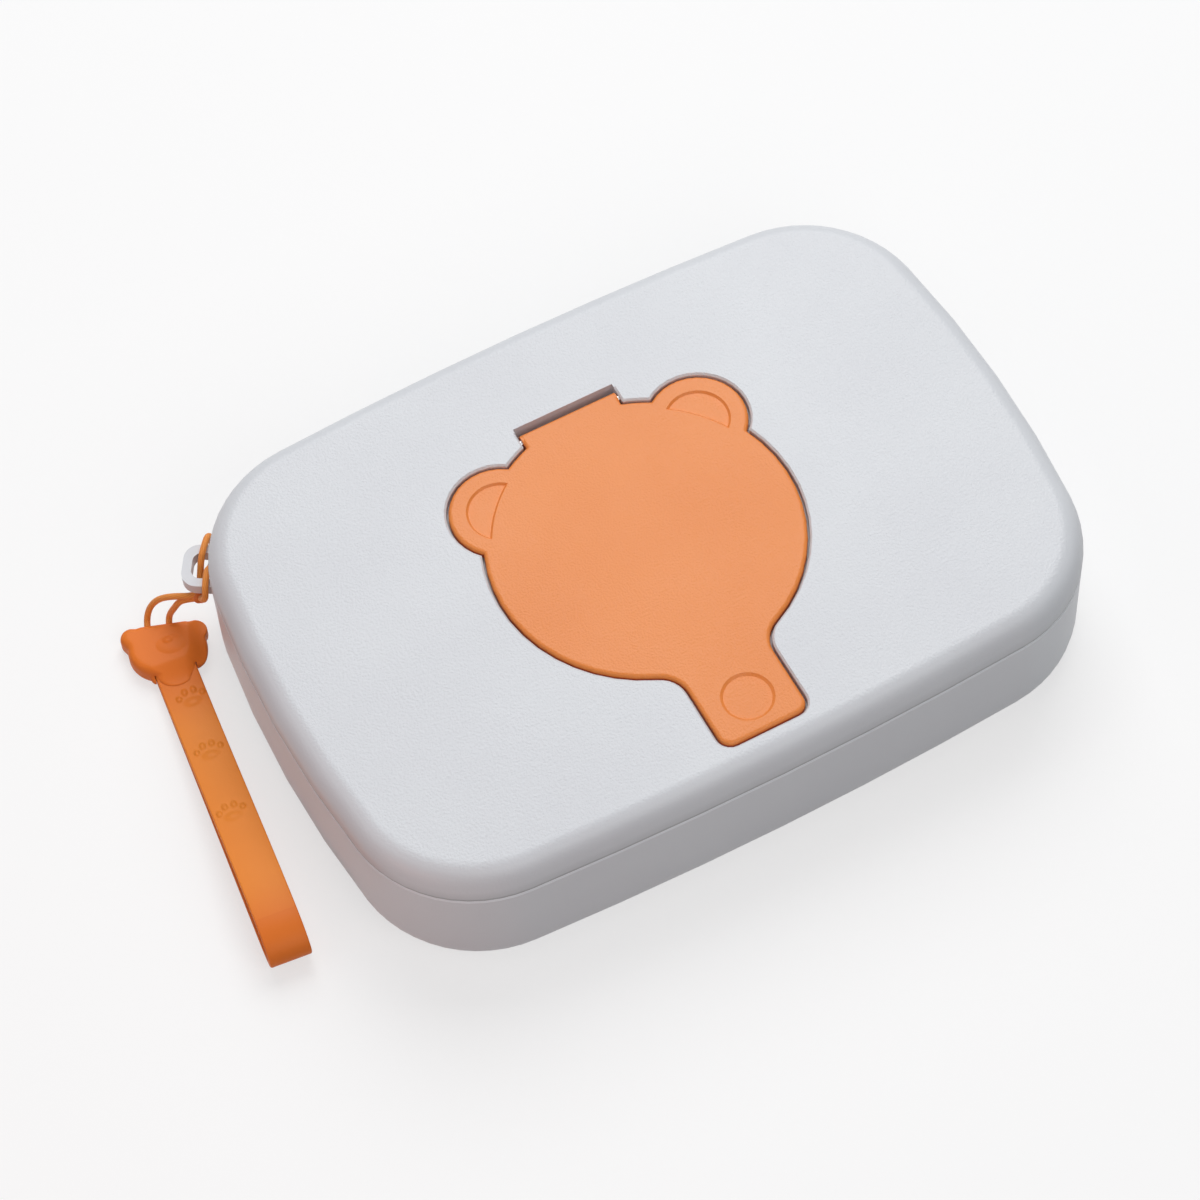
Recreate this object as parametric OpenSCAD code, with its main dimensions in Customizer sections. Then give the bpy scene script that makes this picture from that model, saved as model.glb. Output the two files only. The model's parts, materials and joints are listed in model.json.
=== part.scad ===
// Flip-top wet-wipes box with a wrist strap, in millimetres.
// Origin: middle of the face it rests on. +X right along the long side, -Y the lid's tab, +Z up.

/* [Box] */
// Length of the box along X, over its bowed ends
body_w = 180; // [160:1:210]
// Depth of the box along Y, over its bowed long sides
body_d = 126; // [118:1:150]
// Height from the table to the top face
body_h = 36; // [34:0.5:60]
// Corner radius seen from above
corner_r = 30; // [20:1:38]
// Radius of the bowed short ends
end_r = 262; // [200:1:500]
// Radius of the bowed long sides
side_r = 945; // [500:5:1500]
// Wall thickness of the tray and the cover's skirt
wall = 2; // [1.4:0.1:2.6]

/* [Tray] */
// Rounding between the tray's wall and its base
base_round = 6; // [3:0.5:10]
// Thickness of the tray's floor
floor_t = 2.2; // [1.6:0.1:4]
// Rounding inside the tray, between floor and wall
floor_round = 4; // [2:0.5:8]
// Height of the tongue that stands up inside the cover
tongue_h = 3.2; // [2:0.1:3.6]
// Thickness of the tongue
tongue_t = 1.3; // [1:0.1:2]
// Height of one crush rib on the tongue that steadies the cover
crush_h = 0.15; // [0.05:0.01:0.2]

/* [Cover] */
// Height of the cover, from the parting line to the top face
cover_h = 8.2; // [8:0.1:12]
// Width of the rounding of the cover's upper edge
cover_round = 5.5; // [4:0.5:7.5]
// How far that rounding falls below the top face
cover_fall = 7.3; // [5.5:0.1:7.3]
// Rounding of the cover's lower edge at the parting line
skirt_round = 0.7; // [0.3:0.1:0.9]
// Bevel of the tray's upper edge at the parting line
tray_bevel = 0.5; // [0.3:0.1:0.9]
// Thickness of the cover's top plate
top_t = 2; // [1.6:0.1:2.6]
// Small edge break round the lid's recess
edge_break = 0.45; // [0.1:0.05:0.5]
// Thickness of the seal ring in the cover
seal_t = 0.8; // [0.6:0.1:1.2]
// Gap between pieces that meet along the rim
rim_gap = 0.3; // [0.2:0.05:0.5]

/* [Lid] */
// Radius of the lid's round face
lid_r = 35.3; // [30:0.1:38]
// Place of the lid's centre, behind the middle of the box
lid_y = -0.85; // [-4:0.05:4]
// Radius of one ear
ear_r = 11.3; // [8:0.1:13]
// How far an ear's centre lies inside the edge of the round face
ear_in = 2.7; // [1:0.1:4]
// Direction of an ear from the lid's centre, from +X
ear_angle = 40.9; // [36:0.1:46]
// Half width of the front tab
tab_half = 10.4; // [8:0.1:14]
// How far the tab reaches past the edge of the round face
tab_out = 19.1; // [14:0.1:20]
// Corner radius of the tab
tab_corner = 3; // [1:0.1:5]
// Radius of the hollow curve between the tab and the round face
neck_r = 7; // [4:0.5:12]
// Half width of the hinge tongue at the back
hinge_half = 11.9; // [9:0.1:14]
// Thickness of the lid
lid_t = 2.3; // [1.8:0.1:2.6]
// Rounding of the lid's upper edge
lid_round = 1; // [0.3:0.1:1]
// Gap round the lid
lid_gap = 0.5; // [0.3:0.05:0.6]
// Gap under the lid
lid_under = 0.4; // [0.3:0.05:0.6]
// Radius of the round finger pad on the tab
pad_r = 5.9; // [4:0.1:7]
// Distance from the tab's front edge back to the finger pad's centre
pad_back = 8.7; // [8:0.1:11]
// Depth of the finger pad
dish_h = 0.5; // [0.2:0.05:0.8]
// Depth of the ears' hollows
moon_h = 0.5; // [0.2:0.05:0.8]
// Radius of the half-moon hollow in each ear
moon_r = 7.4; // [5:0.1:8.5]

/* [Hinge] */
// Diameter of the steel hinge pin
pin_d = 1.6; // [1.2:0.1:2]
// Radial gap of the pin in the lid's barrel
pin_fit = 0.05; // [0.02:0.01:0.1]
// Radial gap of the pin in the cover's cheeks
pin_seat = 0.02; // [0.01:0.01:0.04]
// Radius of the lid's hinge barrel
barrel_r = 1.6; // [1.5:0.1:1.8]
// Depth of the pin's axis below the top face
pin_drop = 1.7; // [1.6:0.1:1.9]
// Distance from the edge of the lid's round face back to the pin's axis
pin_back = 0.2; // [0:0.1:1]
// Distance from the pin's axis back to the wall of the hinge slot
slot_reach = 3.2; // [3:0.1:4]
// Length of each cheek that holds the pin
cheek_t = 4; // [3:0.1:6]

/* [Outlet] */
// Radius of the well under the lid
well_r = 27.3; // [25:0.1:28]
// Depth of the well's floor below the top face
well_h = 5.8; // [5.6:0.1:6.6]
// Radial room between the well's wall and the lid's plug ring, which the ring's seal fills
plug_room = 0.7; // [0.7:0.05:1]
// Wall thickness of the plug ring
plug_t = 1.6; // [1.4:0.1:2]
// Depth of the plug ring's lower edge below the top face
plug_h = 4.7; // [4.4:0.1:4.9]
// Half of the straight part of the outlet opening
outlet_x = 9; // [6:0.5:10]
// End radius of the outlet opening
outlet_r = 12.6; // [9:0.1:13]
// Half of the length of the slot that the wipe comes through, without its round ends
slit_x = 11; // [7:0.5:13]
// End radius of that slot
slit_r = 2.6; // [2.2:0.1:3.5]
// Radius of the round middle of that slot
slit_eye = 6; // [4:0.1:8]

/* [Strap lug] */
// Direction of the strap lug round the left rear corner, from +X
lug_angle = 147.5; // [140:0.5:150]
// Height of the lug's middle
lug_z = 20; // [14:0.5:22]
// Thickness of the lug
lug_t = 3; // [2:0.1:4]
// Thickness of the bar round the lug's eye
lug_bar = 2.1; // [1.6:0.1:2.6]
// Half width of the lug's eye
eye_half = 3.3; // [3:0.1:4]
// Reach of the lug's eye from the tray's wall
eye_reach = 4.8; // [4.2:0.1:6]

/* [Strap] */
// Width of the strap's band
band_w = 9.5; // [6:0.5:12]
// Thickness of the strap's band
band_t = 1.6; // [1:0.1:2.4]
// Length of the band's loop, from the head's chin to its bend
band_l = 72; // [50:1:120]
// Outer radius of the bend at the far end of the loop
bend_r = 5.5; // [4:0.1:7]
// Turn of the band, away from the box's left end
band_turn = 6.4; // [0:0.1:20]
// Thickness of the moulded head
head_t = 5; // [4.6:0.1:7]
// Radius of the head's round face
head_r = 8.4; // [7:0.1:10]
// Distance from the head's middle to its chin
head_chin = 7.2; // [6:0.1:10]
// Radius of one of the head's ears
head_ear_r = 2.6; // [2:0.1:3.5]
// Turn of the head in the table's plane
head_turn = -19.8; // [-40:0.1:0]
// Depth of the pocket in the head that holds the band's ends
pocket_l = 7; // [5:0.5:9]
// Diameter of the cord
cord_d = 1.5; // [1:0.1:1.6]
// Radius of the knot
knot_r = 1.9; // [1.7:0.1:2.4]

/* [Hidden] */

part_z = body_h - cover_h;          // parting line
tongue_in = wall + rim_gap;         // inset of the tongue's outer face
rim_in = tongue_in + tongue_t;      // inset of the tongue's inner face
recess_z = body_h - lid_t - lid_under;
well_z = body_h - well_h;
fall = min(cover_fall, cover_h - skirt_round - 0.1);
shelf_z = part_z + tongue_h + rim_gap + seal_t;
pin_y = lid_y + lid_r + pin_back;
pin_z = body_h - pin_drop;
slot_y = pin_y + slot_reach;
hinge_y = pin_y + 1.3;              // rear edge of the lid's tongue
tub_t = 1.5;                        // wall under and round the recess
insert_lip = 0.9;                   // how far the insert's lips lap the opening
insert_h = 0.8;                     // thickness of the insert's upper lip
plug_r = well_r - plug_room;
ear_x = (lid_r - ear_in) * cos(ear_angle);
ear_y = (lid_r - ear_in) * sin(ear_angle);
tab_reach = lid_r + tab_out;        // from the lid's centre to the tab's front edge
eps = 0.01;

// ---- outlines ----

// The meeting point, in the first quadrant, of two circles about [ax, 0] and [0, by].
function meet(ax, ar, by, br) =
  let(d = norm([ax, by]), a = (ar * ar - br * br + d * d) / (2 * d), h = sqrt(ar * ar - a * a))
  [ax - a * ax / d + h * abs(by) / d, a * by / d + h * abs(ax) / d];

function arc(c, r, from, to, n) =
  [for (i = [0:n]) c + r * [cos(from + (to - from) * i / n), sin(from + (to - from) * i / n)]];

// Joins arcs into one closed outline, leaving out the points where one arc ends on the next.
function join(arcs) = [for (a = arcs) for (i = [0:len(a) - 2]) a[i]];

end_x = body_w / 2 - end_r;
side_y = body_d / 2 - side_r;
corner = meet(end_x, end_r - corner_r, side_y, side_r - corner_r);
end_half = atan2(corner[1], corner[0] - end_x);
side_half = atan2(corner[0], corner[1] - side_y);

// The box seen from above: eight arcs, each tangent to the next, with their numbers of steps.
end_n = 4;
corner_n = 12;
side_n = 6;
body_outline = let(e = end_half, s = side_half, x = corner[0], y = corner[1]) join([
  arc([end_x, 0], end_r, -e, e, end_n), arc([x, y], corner_r, e, 90 - s, corner_n),
  arc([0, side_y], side_r, 90 - s, 90 + s, side_n), arc([-x, y], corner_r, 90 + s, 180 - e, corner_n),
  arc([-end_x, 0], end_r, 180 - e, 180 + e, end_n), arc([-x, -y], corner_r, 180 + e, 270 - s, corner_n),
  arc([0, -side_y], side_r, 270 - s, 270 + s, side_n), arc([x, -y], corner_r, 270 + s, 360 - e, corner_n)]);

// Moves an outline inwards by d, or outwards where d is negative.
function inset(p, d) = let(n = len(p)) [for (i = [0:n - 1])
  let(u = unit(p[i] - p[(i + n - 1) % n]), v = unit(p[(i + 1) % n] - p[i]),
      a = [-u[1], u[0]], b = [-v[1], v[0]])
  p[i] + (a + b) * d / (1 + a * b)];
function unit(v) = v / norm(v);

// Right half of the lid, from the middle of its tab round to its hinge tongue.
neck_y = -sqrt((lid_r + neck_r) ^ 2 - (tab_half + neck_r) ^ 2);
ear_d = norm([ear_x, ear_y]);
ear_turn = atan2(ear_y, ear_x);
ear_lap = acos((lid_r ^ 2 + ear_d ^ 2 - ear_r ^ 2) / (2 * lid_r * ear_d));
ear_open = 180 - acos((ear_r ^ 2 + ear_d ^ 2 - lid_r ^ 2) / (2 * ear_r * ear_d));
lid_half = let(c = [0, lid_y]) concat(
  arc(c + [tab_half - tab_corner, tab_corner - tab_reach], tab_corner, -90, 0, 5),
  arc(c + [tab_half + neck_r, neck_y], neck_r, 180, 90 + atan2(tab_half + neck_r, -neck_y), 6),
  trim(arc(c, lid_r, atan2(neck_y, tab_half + neck_r), ear_turn - ear_lap, 12)),
  arc(c + [ear_x, ear_y], ear_r, ear_turn - ear_open, ear_turn + ear_open, 16),
  trim(arc(c, lid_r, ear_turn + ear_lap, acos(hinge_half / lid_r), 3)),
  [c + [hinge_half, sqrt(lid_r ^ 2 - hinge_half ^ 2)], [hinge_half, hinge_y]]);
function trim(p) = [for (i = [1:len(p) - 2]) p[i]];
lid_outline = concat(lid_half, [for (i = [len(lid_half) - 1:-1:0]) [-lid_half[i][0], lid_half[i][1]]]);

// ---- helpers ----

// A solid through rings [inset, z] of one outline, with both ends fanned round a point inside it.
module loft(outline, rings, middle = [0, 0]) {
  n = len(outline);
  last = len(rings) - 1;
  sides = [for (r = rings) for (p = inset(outline, r[0])) [p[0], p[1], r[1]]];
  ends = [[middle[0], middle[1], rings[0][1]], [middle[0], middle[1], rings[last][1]]];
  polyhedron(points = concat(sides, ends), faces = concat(
    [for (k = [0:last - 1]) for (i = [0:n - 1]) [k * n + i, (k + 1) * n + i, (k + 1) * n + (i + 1) % n]],
    [for (k = [0:last - 1]) for (i = [0:n - 1]) [k * n + i, (k + 1) * n + (i + 1) % n, k * n + (i + 1) % n]],
    [for (i = [0:n - 1]) [(last + 1) * n, i, (i + 1) % n]],
    [for (i = [0:n - 1]) [(last + 1) * n + 1, last * n + (i + 1) % n, last * n + i]]), convexity = 6);
}

// Rings of a quarter round of radius r that closes upwards onto z, n steps.
function round_up(r, z, n, in = 0) =
  [for (i = [0:n]) [in + r * (1 - cos(90 * i / n)), z - r + r * sin(90 * i / n)]];
// Rings of a quarter round of radius r that opens upwards from z.
function round_down(r, z, n, in = 0) =
  [for (i = [0:n]) [in + r * (1 - sin(90 * i / n)), z + r - r * cos(90 * i / n)]];

// A band between two insets of the box's outline, from z0 to z1.
module rim(in0, in1, z0, z1) translate([0, 0, z0]) linear_extrude(z1 - z0) difference() {
  polygon(inset(body_outline, in0));
  polygon(inset(body_outline, in1));
}

// A flat slot shape: two circles of radius r, x either side of the lid's centre.
module stadium(x, r) translate([0, lid_y]) {
  for (s = [-1, 1]) translate([s * x, 0]) circle(r, $fn = 64);
  square([2 * x, 2 * r], center = true);
}

module plate(z0, z1) translate([0, 0, z0]) linear_extrude(z1 - z0) children();

// ---- tray ----

module lug() rotate(lug_angle) translate([0, 0, lug_z - lug_t / 2]) linear_extrude(lug_t) difference() {
  outer = eye_half + lug_bar;
  nose = eye_reach + lug_bar - outer * 0.66;
  union() {
    for (s = [-1, 1]) translate([nose, s * outer * 0.34]) circle(outer * 0.66, $fn = 64);
    translate([-0.75 * wall, -outer]) square([nose + 0.75 * wall, 2 * outer]);
    translate([nose, -outer * 0.34]) square([outer * 0.66, outer * 0.68]);
  }
  for (s = [-1, 1]) translate([eye_reach - 2.1, s * (eye_half - 2.1)]) circle(2.1, $fn = 48);
  translate([0, -eye_half]) square([eye_reach - 2.1, 2 * eye_half]);
  translate([0, 2.1 - eye_half]) square([eye_reach, 2 * (eye_half - 2.1)]);
}

// Two thin upright ribs on each side of the tongue, at points of its outline.
module crush_ribs() {
  p = inset(body_outline, tongue_in);
  side = end_n + corner_n;
  for (half = [0, len(p) / 2], i = [1, end_n - 1, side + 1, side + side_n - 1])
    translate([p[half + i][0], p[half + i][1], part_z + 0.4])
      cylinder(r = crush_h, h = tongue_h - 0.8, $fn = 24);
}

module base_tray() color("whitesmoke") {
  lean = rim_in - wall;
  difference() {
    union() {
      loft(body_outline, concat(round_down(base_round, 0, 6),
        [[0, part_z - tray_bevel], [tray_bevel, part_z]]));
      rim(tongue_in, rim_in + 1, part_z - 2, part_z + tongue_h);
      crush_ribs();
      translate([-corner[0], corner[1], 0]) rotate(lug_angle) translate([corner_r, 0, 0])
        rotate(-lug_angle) lug();
    }
    loft(body_outline, concat(round_down(floor_round, floor_t, 4, wall),
      [[wall, part_z - 4 - lean], [rim_in, part_z - 4], [rim_in, part_z + tongue_h + 1]]));
  }
}

// ---- cover ----

module cover_shell() difference() {
  loft(body_outline, concat(round_down(skirt_round, part_z, 3),
    [for (i = [0:12]) [cover_round * (1 - cos(7.5 * i)), body_h - fall * (1 - sin(7.5 * i))]]));
  loft(body_outline, [[wall, part_z - 1], [wall, shelf_z], [rim_in + rim_gap, shelf_z],
    [rim_in + rim_gap, shelf_z - seal_t], [rim_in + rim_gap + 1, shelf_z - seal_t],
    [rim_in + rim_gap + 1, body_h - top_t - 1.5], [rim_in + rim_gap + 2.5, body_h - top_t]]);
}

// Everything the recess takes away: the lid's outline with its gap, and the hinge slot behind it.
module recess() {
  inner = -lid_gap;
  loft(lid_outline, [[inner, recess_z], [inner, body_h - edge_break],
    [inner - edge_break, body_h], [inner - edge_break, body_h + 1]], [0, lid_y]);
  w = hinge_half + lid_gap;
  floor_z = pin_z - barrel_r - rim_gap;
  translate([-w, hinge_y - 5, floor_z]) cube([2 * w, slot_y - hinge_y + 5, body_h + 1 - floor_z]);
}

module tub() {
  plate(recess_z - tub_t, body_h - top_t + eps) polygon(inset(lid_outline, -lid_gap - tub_t));
  w = hinge_half + lid_gap + cheek_t;
  floor_z = pin_z - barrel_r - rim_gap;
  translate([-w, pin_y - 2.2, floor_z - tub_t])
    cube([2 * w, slot_y + tub_t - pin_y + 2.2, body_h - top_t + eps - floor_z + tub_t]);
  translate([0, lid_y, well_z - tub_t])
    cylinder(r = well_r + tub_t, h = body_h - top_t - well_z, $fn = 128);
}

module top_cover() color("white") difference() {
  union() {
    cover_shell();
    tub();
  }
  recess();
  translate([0, lid_y, well_z]) cylinder(r = well_r, h = well_h, $fn = 128);
  plate(well_z - 2 * tub_t, well_z + 1) stadium(outlet_x, outlet_r);
  pin_l = 2 * (hinge_half + lid_gap + cheek_t - 1);
  translate([0, pin_y, pin_z]) rotate([0, 90, 0])
    cylinder(r = pin_d / 2 + pin_seat, h = pin_l, center = true, $fn = 48);
}

module cover_seal() color("lightgray") rim(tongue_in, rim_in, shelf_z - seal_t, shelf_z);

module outlet_insert() color("gainsboro") difference() {
  union() {
    plate(well_z, well_z + insert_h) stadium(outlet_x, outlet_r + insert_lip);
    plate(well_z - tub_t, well_z) stadium(outlet_x, outlet_r - 0.1);
    plate(well_z - tub_t - insert_h, well_z - tub_t) stadium(outlet_x, outlet_r + insert_lip / 2);
  }
  plate(well_z - tub_t - insert_h - 1, well_z + insert_h + 1) {
    stadium(slit_x, slit_r);
    translate([0, lid_y]) circle(slit_eye, $fn = 64);
  }
}

module hinge_pin() color("silver") translate([0, pin_y, pin_z]) rotate([0, 90, 0])
  cylinder(r = pin_d / 2, h = 2 * (hinge_half + lid_gap + cheek_t - 1) - 0.4, center = true, $fn = 48);

// ---- lid ----

// A round hollow in the lid's face with a sloping wall, and the same shape as a rise.
module hollow(c, r, h, slope) translate([c[0], c[1], body_h - h])
  cylinder(r1 = r - slope * h, r2 = r + slope * eps, h = h + eps, $fn = 96);
module rise(c, r, h) translate([c[0], c[1], body_h - h - eps])
  cylinder(r1 = r + h + eps, r2 = r - eps, h = h + 2 * eps, $fn = 128);

module flip_lid() color("darkorange") difference() {
  union() {
    loft(lid_outline, concat([[0.3, body_h - lid_t], [0, body_h - lid_t + 0.3]],
      round_up(lid_round, body_h, 6)), [0, lid_y]);
    translate([0, pin_y, pin_z]) rotate([0, 90, 0])
      cylinder(r = barrel_r, h = 2 * hinge_half, center = true, $fn = 64);
    translate([-hinge_half, pin_y - barrel_r - 0.6, pin_z])
      cube([2 * hinge_half, barrel_r + 0.6, body_h - 1 - pin_z]);
    translate([0, lid_y]) rotate_extrude($fn = 128) plug_profile();
  }
  hollow([0, lid_y - tab_reach + pad_back], pad_r, dish_h, 1.3);
  for (s = [-1, 1]) difference() {
    hollow([s * ear_x, lid_y + ear_y], moon_r, moon_h, 1);
    rise([0, lid_y], lid_r - 2, moon_h);
  }
  translate([0, pin_y, pin_z]) rotate([0, 90, 0])
    cylinder(r = pin_d / 2 + pin_fit, h = 2 * hinge_half + 2, center = true, $fn = 48);
}

// The plug ring with the groove for its seal.
module plug_profile() difference() {
  translate([plug_r - plug_t, body_h - plug_h]) square([plug_t, plug_h - lid_t + 0.5]);
  translate([plug_r - 0.6, body_h - plug_h + 0.5]) square([1, 1.2]);
}

module lid_seal() color("lightgray") translate([0, lid_y]) rotate_extrude($fn = 128) {
  translate([plug_r - 0.6, body_h - plug_h + 0.5]) square([0.6, 1.2]);
  translate([plug_r - 0.1, body_h - plug_h + 1.1]) circle(0.5, $fn = 32);
}

// ---- strap ----

lug_out = [cos(lug_angle), sin(lug_angle)];
lug_side = [-sin(lug_angle), cos(lug_angle)];
lug_root = [-corner[0], corner[1]] + corner_r * lug_out;
function at_lug(p) = let(q = lug_root + p[0] * lug_out + p[1] * lug_side) [q[0], q[1], lug_z + p[2]];
function beside_lug(p) = [lug_root[0] + p[0], lug_root[1] + p[1], p[2]];

head_mid = lug_root + [-15.8, -3.3];
head_side = [cos(head_turn), sin(head_turn)];
head_up = [-sin(head_turn), cos(head_turn)];
head_top = 6.2;                     // distance from the head's middle to its flat top edge
function at_head(p) = let(q = head_mid + p[0] * head_side + p[1] * head_up) [q[0], q[1], p[2]];

// From the knot under the lug's front bar, up through the eye, over and behind the rear bar,
// up through the eye again and over the front bar: out from the wall, along the wall, up.
hitch_route = [for (p = [
  [2.9, 3.4, -2.6], [3.05, 2.3, -2.1], [3.1, 1.2, -1.2],
  [3, 0.2, -0.1], [2.9, -1.1, 1.4], [2.7, -2.6, 2.4], [2.4, -4.8, 2.6], [2.2, -6.8, 2.3],
  [2, -8, 1.2], [1.8, -8.3, -0.1], [1.6, -7.9, -1.4], [1.4, -6.6, -2.4], [1.3, -4.8, -2.6],
  [1.2, -3, -2.5], [1.2, -1.5, -1.6], [1.2, -0.2, -0.1], [1.2, 1.1, 1.4], [1.1, 2.6, 2.4],
  [1, 4.8, 2.6], [0.9, 6.4, 2.2], [0.9, 7.2, 1.1], [1.1, 7.4, -0.3], [1.7, 6.9, -1.7],
  [2.5, 5.75, -3.05]]) at_lug(p)];
knot_at = at_lug([2.9, 4.2, -4.7]);

// From the head up to the knot, round inside it and back to the head.
cord_route = concat(
  [for (p = [[-3.5, head_top - 1, 2.8], [-3.5, head_top + 1.2, 3]]) at_head(p)],
  [for (p = [
    [-16, 5.7, 4.3], [-14.9, 6.2, 6.5], [-13.5, 5.7, 8.9], [-12, 4.5, 11], [-10.4, 2.9, 12.6],
    [-8.9, 1.3, 13.9], [-7.5, -0.2, 14.9], [-6.4, -1, 15.5], [-5.5, -1.5, 15.6], [-4.8, -1.8, 14.8],
    [-5.4, -1.4, 13.9], [-6.3, -0.7, 13.7], [-7.4, 0, 13.2], [-8.4, 0.8, 12.4], [-9.3, 1.5, 11.1],
    [-10, 2, 9.3], [-10.5, 2.7, 7.4], [-10.9, 3.4, 5.6], [-11.4, 3.7, 4.1]]) beside_lug(p)],
  [for (p = [[1.4, head_top + 1.2, 3], [1.4, head_top - 1, 2.8]]) at_head(p)]);

// Parallel transport of one normal along a route, so that a tube's rings don't twist.
function tangent(p, i) = unit(p[min(i + 1, len(p) - 1)] - p[max(i - 1, 0)]);
function square_to(n, t) = unit(n - (n * t) * t);
function normals(p, n, i = 0) = i == len(p) ? [] :
  let(m = square_to(n, tangent(p, i))) concat([m], normals(p, m, i + 1));

module tube(route, d, sides = 8) {
  m = normals(route, [0.3, 0.2, 1]);
  last = len(route) - 1;
  points = [for (i = [0:last]) let(t = tangent(route, i), b = cross(t, m[i]))
    for (k = [0:sides - 1]) route[i] + d / 2 * (m[i] * cos(360 * k / sides) + b * sin(360 * k / sides))];
  polyhedron(points = points, faces = concat(
    [for (i = [0:last - 1]) for (k = [0:sides - 1])
      [i * sides + k, (i + 1) * sides + k, (i + 1) * sides + (k + 1) % sides]],
    [for (i = [0:last - 1]) for (k = [0:sides - 1])
      [i * sides + k, (i + 1) * sides + (k + 1) % sides, i * sides + (k + 1) % sides]],
    [[for (k = [0:sides - 1]) k]], [[for (k = [sides - 1:-1:0]) last * sides + k]]), convexity = 8);
}

module cord_hitch() color("darkorange") tube(hitch_route, cord_d);
module strap_cord() color("darkorange") tube(cord_route, cord_d);

module cord_knot() color("darkorange") translate(knot_at) {
  sphere(r = knot_r - 0.2, $fn = 48);
  rotate([90, 0, lug_angle + 45]) rotate_extrude($fn = 48) translate([knot_r - 0.75, 0]) circle(0.75, $fn = 32);
}

// The head seen from above: a face with a flat top, a round chin and two round ears, as a reach per angle.
function ear_reach(a, c, r) =
  let(along = c * [cos(a), sin(a)], off = c * [-sin(a), cos(a)])
  along > 0 && abs(off) < r ? along + sqrt(r * r - off * off) : 0;
function head_reach(a) =
  let(x = head_r - 1.15, y = head_top - head_ear_r,
      chin = head_r * head_chin / norm([head_chin * cos(a), head_r * sin(a)]),
      far = max(sin(a) < 0 ? chin : head_r, ear_reach(a, [x, y], head_ear_r), ear_reach(a, [-x, y], head_ear_r)))
  sin(a) > 0 ? min(far, head_top / sin(a)) : far;
head_outline = [for (i = [0:71]) let(a = 5 * i) head_mid
  + head_reach(a) * (cos(a) * head_side + sin(a) * head_up)];

// The band's centre line from the side: low run on the table, bend, and the top run back to the head.
band_path = let(r = bend_r - band_t / 2, low = band_t / 2, high = 2 * bend_r - low, start = 1.5 * band_t + 0.1)
  concat([[-pocket_l + 0.3, low], [0, low]], [for (i = [0:12]) [band_l, bend_r] + r * [sin(15 * i), -cos(15 * i)]],
  [for (i = [1:13]) let(q = 1 - i / 13) [band_l * q, start + (high - start) * (3 * q * q - 2 * q * q * q)]],
  [[-pocket_l + 0.3, start]]);

function offset_path(p, d) = [for (i = [0:len(p) - 1])
  let(t = unit(p[min(i + 1, len(p) - 1)] - p[max(i - 1, 0)])) p[i] + d * [t[1], -t[0]]];

band_from = lug_root + [-16.2, -10.4];
module along_band() translate([band_from[0], band_from[1], 0]) rotate(-90 - band_turn) children();

module strap_band() color("orange") along_band() rotate([90, 0, 0])
  translate([0, 0, -band_w / 2]) linear_extrude(band_w)
  polygon(concat(offset_path(band_path, band_t / 2),
    [for (i = [len(band_path) - 1:-1:0]) offset_path(band_path, -band_t / 2)[i]]));

module strap_head() color("darkorange") difference() {
  loft(head_outline, concat(round_down(0.8, 0, 3), round_up(1.7, head_t, 6)), head_mid);
  along_band() translate([-pocket_l, -band_w / 2 - 0.15, -1])
    cube([pocket_l + 8, band_w + 0.3, 2 * band_t + 0.25 + 1]);
}

base_tray();
cover_seal();
top_cover();
outlet_insert();
hinge_pin();
flip_lid();
lid_seal();
cord_hitch();
cord_knot();
strap_cord();
strap_head();
strap_band();
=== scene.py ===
# %% [markdown]
# # A wipes box with a flip lid and a wrist strap
# The object is four bodies: a tray, a cover that presses onto it, an orange lid that flips up, and a strap on a
# cord. The CAD model gives every rigid piece its true shape, so this lesson is about looks: smooth shading,
# moulded plastic, a cord, a soft band, and light like the photograph's. All lengths are in metres, unless a
# name or a comment says mm.

# %% Load the frame
import json
from math import cos, pi, radians, sin, sqrt
import bpy
from mathutils import Matrix, Vector

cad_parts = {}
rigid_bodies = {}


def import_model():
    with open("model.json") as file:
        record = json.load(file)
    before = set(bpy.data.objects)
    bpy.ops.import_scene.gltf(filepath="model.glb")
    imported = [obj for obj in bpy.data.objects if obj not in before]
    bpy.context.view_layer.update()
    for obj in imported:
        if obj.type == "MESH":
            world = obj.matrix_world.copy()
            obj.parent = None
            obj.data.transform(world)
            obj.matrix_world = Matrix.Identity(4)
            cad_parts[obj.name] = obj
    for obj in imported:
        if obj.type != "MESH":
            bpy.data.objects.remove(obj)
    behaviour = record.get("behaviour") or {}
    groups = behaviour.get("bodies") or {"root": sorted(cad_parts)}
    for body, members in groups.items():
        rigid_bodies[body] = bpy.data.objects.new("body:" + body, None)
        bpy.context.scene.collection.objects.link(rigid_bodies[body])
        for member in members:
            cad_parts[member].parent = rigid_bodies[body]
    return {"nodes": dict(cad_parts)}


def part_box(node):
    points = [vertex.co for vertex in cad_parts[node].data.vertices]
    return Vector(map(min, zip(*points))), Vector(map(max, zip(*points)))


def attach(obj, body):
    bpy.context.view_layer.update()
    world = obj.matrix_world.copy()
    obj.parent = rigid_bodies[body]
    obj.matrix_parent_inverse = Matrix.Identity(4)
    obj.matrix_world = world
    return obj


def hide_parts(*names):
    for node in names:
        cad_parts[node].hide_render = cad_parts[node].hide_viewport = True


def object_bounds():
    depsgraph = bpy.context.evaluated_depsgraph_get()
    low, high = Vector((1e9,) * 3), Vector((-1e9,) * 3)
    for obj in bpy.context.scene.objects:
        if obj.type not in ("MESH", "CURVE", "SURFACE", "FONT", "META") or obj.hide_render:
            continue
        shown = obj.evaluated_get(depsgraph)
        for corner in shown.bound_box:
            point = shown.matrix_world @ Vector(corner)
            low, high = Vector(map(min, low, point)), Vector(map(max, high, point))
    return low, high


for spare in list(bpy.data.objects):
    bpy.data.objects.remove(spare)
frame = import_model()
node = frame["nodes"]
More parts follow.
